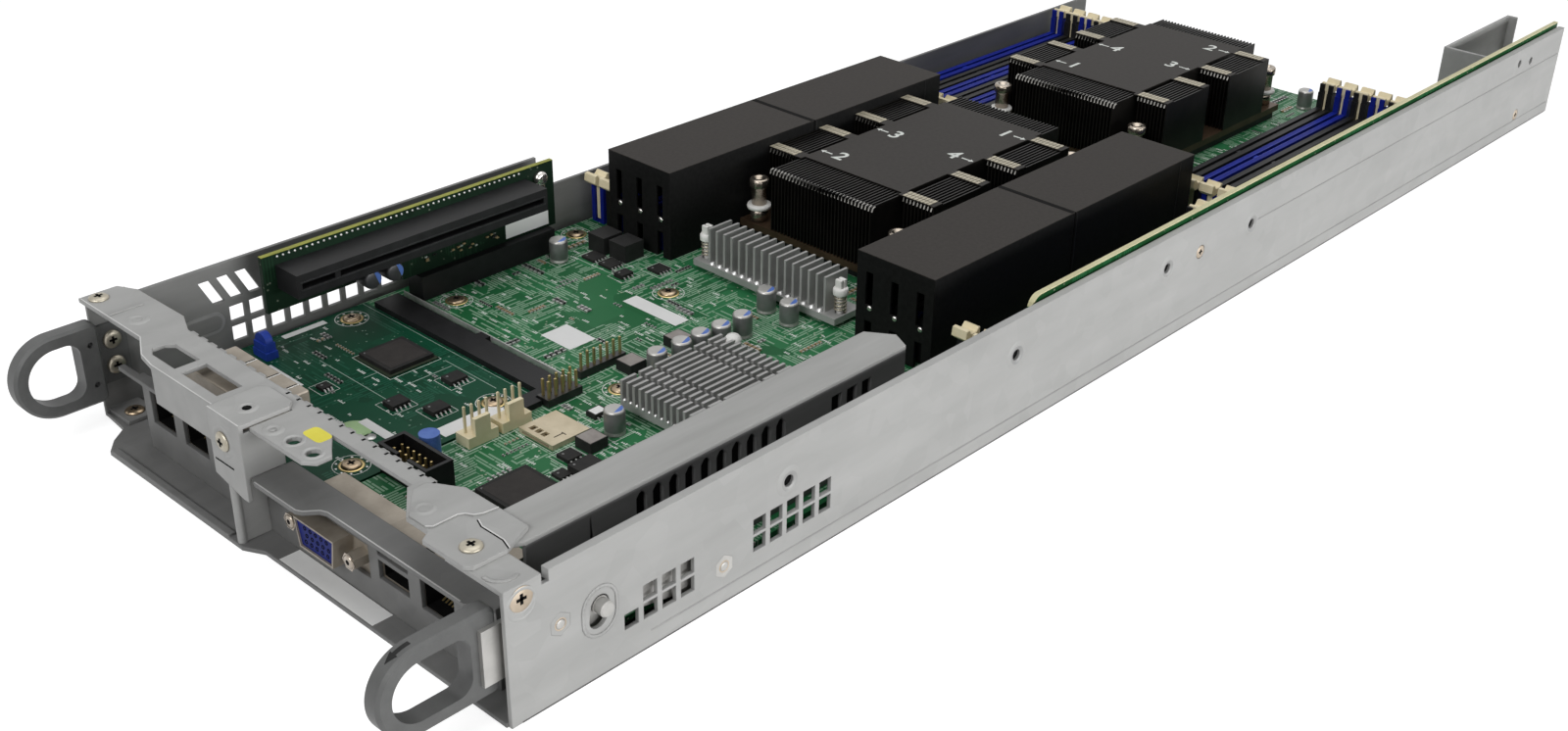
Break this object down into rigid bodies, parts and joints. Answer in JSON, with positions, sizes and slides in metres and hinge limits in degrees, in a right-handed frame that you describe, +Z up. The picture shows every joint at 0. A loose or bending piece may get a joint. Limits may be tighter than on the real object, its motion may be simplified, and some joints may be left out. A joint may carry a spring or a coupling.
{
  "type": "server node",
  "caption": "Open sheet-metal server node: main board with finned heat sinks, memory slots with latches, riser, front ports, finger-loop handles and a spring-held release lever.",
  "frame": {"origin": "on the tray's underside, in the middle of its width, at the front edge of the right wall", "axes": "+X across to the wall with the release lever, +Y along the tray from the front panel to the far end, +Z up"},
  "size_m": [0.1929, 0.594, 0.0395],
  "materials": {
    "galvanised_steel": "matt zinc coat",
    "bright_steel": "satin",
    "grey_plastic": "fine grain",
    "green_board": "satin solder mask",
    "dark_green_board": "satin solder mask",
    "black_plastic": "matt",
    "shroud_plastic": "fine grain",
    "blue_plastic": "matt",
    "ivory_plastic": "satin",
    "plain_aluminium": "satin",
    "black_aluminium": "matt black coat",
    "gold_contact": "bright",
    "yellow_zinc": "satin",
    "spring_steel": "bright",
    "chip_black": "matt",
    "nickel_lid": "satin",
    "capacitor_can": "bright",
    "blue_sleeve": "gloss"
  },
  "bodies": {
    "tray": {"floor_pan": "galvanised_steel", "left_wall": "galvanised_steel", "right_wall": "galvanised_steel", "io_panel": "galvanised_steel", "front_bridge": "galvanised_steel", "centre_clip": "galvanised_steel", "air_guide_rail": "galvanised_steel", "far_bracket": "galvanised_steel", "left_handle": "grey_plastic", "lever_pivot": "bright_steel", "lever_spring": "spring_steel", "screws": "yellow_zinc", "wall_studs": "bright_steel", "standoffs": "bright_steel", "main_board": "green_board", "network_card": "dark_green_board", "riser_card": "green_board", "riser_socket": "black_plastic", "riser_slot": "black_plastic", "side_board": "green_board", "side_connector": "black_plastic", "card_connector": "black_plastic", "network_jacks": "bright_steel", "lan_jack": "bright_steel", "usb_stack": "bright_steel", "vga_connector": "blue_plastic", "fan_headers": "ivory_plastic", "pin_headers": "gold_contact", "box_header": "black_plastic", "card_socket": "bright_steel", "coin_cell": "blue_sleeve", "jumper_block": "blue_plastic", "capacitors": "capacitor_can", "chokes": "black_plastic", "chips": "chip_black", "front_heat_sink": "black_aluminium", "rear_heat_sink": "black_aluminium", "heat_sink_nuts": "bright_steel", "processor_sockets": "black_plastic", "processors": "nickel_lid", "chipset_heat_sink": "plain_aluminium", "tall_heat_sink": "plain_aluminium", "push_pins": "ivory_plastic", "blue_memory_slots": "blue_plastic", "black_memory_slots": "black_plastic", "left_front_shroud": "shroud_plastic", "left_back_shroud": "shroud_plastic", "right_front_shroud": "shroud_plastic", "right_back_shroud": "shroud_plastic"},
    "release_lever": {"lever_arm": "bright_steel", "lever_handle": "grey_plastic", "latch_pin": "bright_steel"},
    "front_left_near_row": {"front_left_near_latches": "ivory_plastic"},
    "front_left_far_row": {"front_left_far_latches": "ivory_plastic"},
    "front_right_near_row": {"front_right_near_latches": "ivory_plastic"},
    "front_right_far_row": {"front_right_far_latches": "ivory_plastic"},
    "rear_left_near_row": {"rear_left_near_latches": "ivory_plastic"},
    "rear_left_far_row": {"rear_left_far_latches": "ivory_plastic"},
    "rear_right_near_row": {"rear_right_near_latches": "ivory_plastic"},
    "rear_right_far_row": {"rear_right_far_latches": "ivory_plastic"}
  },
  "joints": [
    {"name": "release_lever_hinge", "type": "hinge", "parent": "tray", "child": "release_lever", "pos_m": [0.0918, 0.0663, 0.0108], "axis": [1, 0, 0], "range_deg": [0, 5], "stiffness_Nm_per_rad": 0.8, "springref_deg": -28.65},
    {"name": "front_left_near_hinge", "type": "hinge", "parent": "tray", "child": "front_left_near_row", "pos_m": [-0.0695, 0.1887, 0.0082], "axis": [1, 0, 0], "range_deg": [0, 20]},
    {"name": "front_left_far_hinge", "type": "hinge", "parent": "tray", "child": "front_left_far_row", "pos_m": [-0.0695, 0.3133, 0.0082], "axis": [-1, 0, 0], "range_deg": [0, 20]},
    {"name": "front_right_near_hinge", "type": "hinge", "parent": "tray", "child": "front_right_near_row", "pos_m": [0.0625, 0.1887, 0.0082], "axis": [1, 0, 0], "range_deg": [0, 20]},
    {"name": "front_right_far_hinge", "type": "hinge", "parent": "tray", "child": "front_right_far_row", "pos_m": [0.0625, 0.3133, 0.0082], "axis": [-1, 0, 0], "range_deg": [0, 20]},
    {"name": "rear_left_near_hinge", "type": "hinge", "parent": "tray", "child": "rear_left_near_row", "pos_m": [-0.0695, 0.3352, 0.0082], "axis": [1, 0, 0], "range_deg": [0, 20]},
    {"name": "rear_left_far_hinge", "type": "hinge", "parent": "tray", "child": "rear_left_far_row", "pos_m": [-0.0695, 0.4598, 0.0082], "axis": [-1, 0, 0], "range_deg": [0, 20]},
    {"name": "rear_right_near_hinge", "type": "hinge", "parent": "tray", "child": "rear_right_near_row", "pos_m": [0.0625, 0.3352, 0.0082], "axis": [1, 0, 0], "range_deg": [0, 20]},
    {"name": "rear_right_far_hinge", "type": "hinge", "parent": "tray", "child": "rear_right_far_row", "pos_m": [0.0625, 0.4598, 0.0082], "axis": [-1, 0, 0], "range_deg": [0, 20]}
  ]
}
